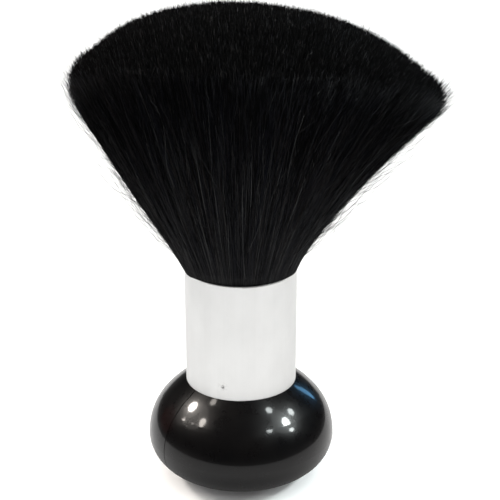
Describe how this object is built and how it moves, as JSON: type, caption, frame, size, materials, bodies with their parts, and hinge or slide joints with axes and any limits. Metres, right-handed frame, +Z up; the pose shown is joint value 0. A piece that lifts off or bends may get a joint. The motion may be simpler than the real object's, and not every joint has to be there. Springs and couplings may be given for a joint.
{
  "type": "neck duster brush",
  "caption": "Free-standing barber's neck duster: a wide fan of soft black hair in a satin metal ferrule on a round, weighted, glossy black base.",
  "frame": {"origin": "centre of the flat foot under the base, on the table", "axes": "+Z up along the ferrule's axis; X along the fan's width, its longer reach towards +X; the fan's face looks along -Y"},
  "size_m": [0.124, 0.0644, 0.1664],
  "materials": {
    "hair": "satin",
    "waxed_cord": "matte",
    "amber_resin": "gloss",
    "dark_plastic": "matte",
    "pad_rubber": "matte",
    "zinc_steel": "satin",
    "spring_steel": "satin",
    "raw_steel": "matte",
    "satin_aluminium": "satin",
    "gloss_black": "gloss"
  },
  "bodies": {
    "root": {"bristle_tuft": "hair", "binding_cord": "waxed_cord", "resin_plug": "amber_resin", "knot_cup": "dark_plastic", "tie_nut": "zinc_steel", "ferrule": "satin_aluminium", "base_shell_left": "gloss_black", "base_shell_right": "gloss_black", "ballast_disc": "raw_steel", "spacer_tube": "zinc_steel", "tie_bolt": "zinc_steel", "flat_washer": "zinc_steel", "spring_washer": "spring_steel", "foot_pad": "pad_rubber"}
  },
  "joints": []
}
